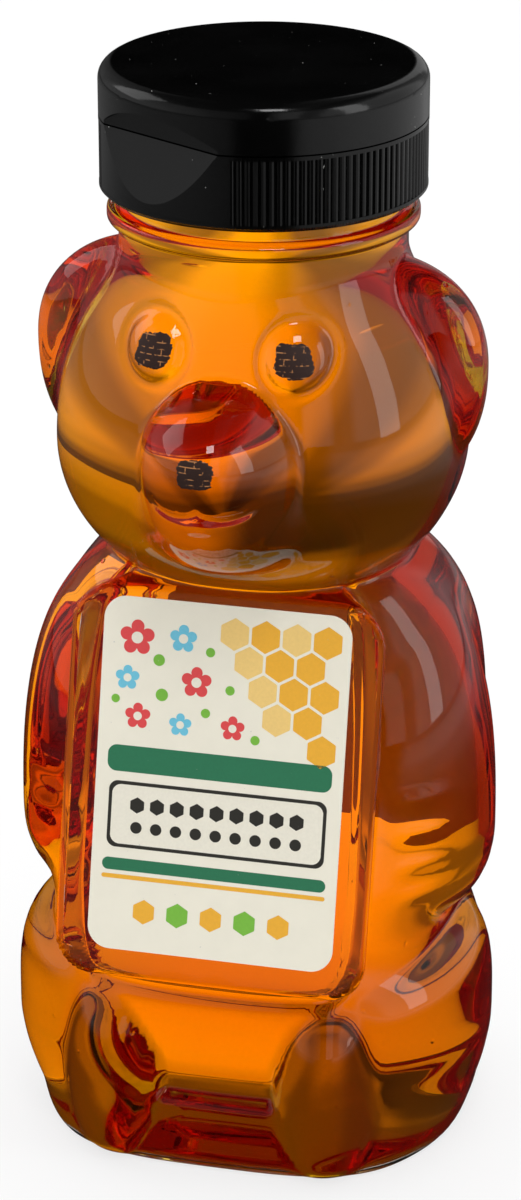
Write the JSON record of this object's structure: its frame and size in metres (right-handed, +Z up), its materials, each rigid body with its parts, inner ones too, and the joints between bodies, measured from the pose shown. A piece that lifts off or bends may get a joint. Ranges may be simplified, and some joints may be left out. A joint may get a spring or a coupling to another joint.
{
  "type": "honey bear bottle",
  "caption": "Clear bear-shaped squeeze bottle filled with honey, with a blank-worded label and a ribbed black screw cap whose flip-top lid opens on a living hinge.",
  "frame": {"origin": "where the axis of the neck and cap meets the table, in the middle of the foot ring", "axes": "+Z up, the bear's face and front label look along -Y, +X is the bear's left"},
  "size_m": [0.063, 0.0586, 0.142],
  "materials": {
    "clear_plastic": "clear blown polyester, glossy",
    "honey": "clear light amber honey",
    "label": "printed film label, satin",
    "ink": "dark brown printed ink",
    "foil": "satin foil",
    "foam": "white closed-cell foam",
    "black_plastic": "moulded black polypropylene, smooth lid and fluted skirt"
  },
  "bodies": {
    "bear": {"bottle": "clear_plastic", "honey": "honey", "front_label": "label", "back_label": "label", "left_eye": "ink", "right_eye": "ink", "nose": "ink", "foil_seal": "foil"},
    "cap_seal": {"seal_ring": "foam"},
    "cap": {"cap_base": "black_plastic"},
    "flip_lid": {"lid": "black_plastic", "hinge_strap": "black_plastic"}
  },
  "joints": [
    {"name": "cap_lift", "type": "slide", "parent": "bear", "child": "cap_seal", "axis": [0, 0, 1], "range_m": [0, 0.00847]},
    {"name": "cap_turn", "type": "hinge", "parent": "cap_seal", "child": "cap", "pos_m": [0, 0, 0.13565], "axis": [0, 0, 1], "range_deg": [0, 720]},
    {"name": "lid_flip", "type": "hinge", "parent": "cap", "child": "flip_lid", "pos_m": [0.01036, 0.01794, 0.13565], "axis": [-0.866, 0.5, 0], "range_deg": [0, 150], "deforming": ["hinge_strap"]}
  ],
  "couplings": [
    {"joint": "cap_lift", "follows": "cap_turn", "m_per_rad": 0.0006737}
  ]
}
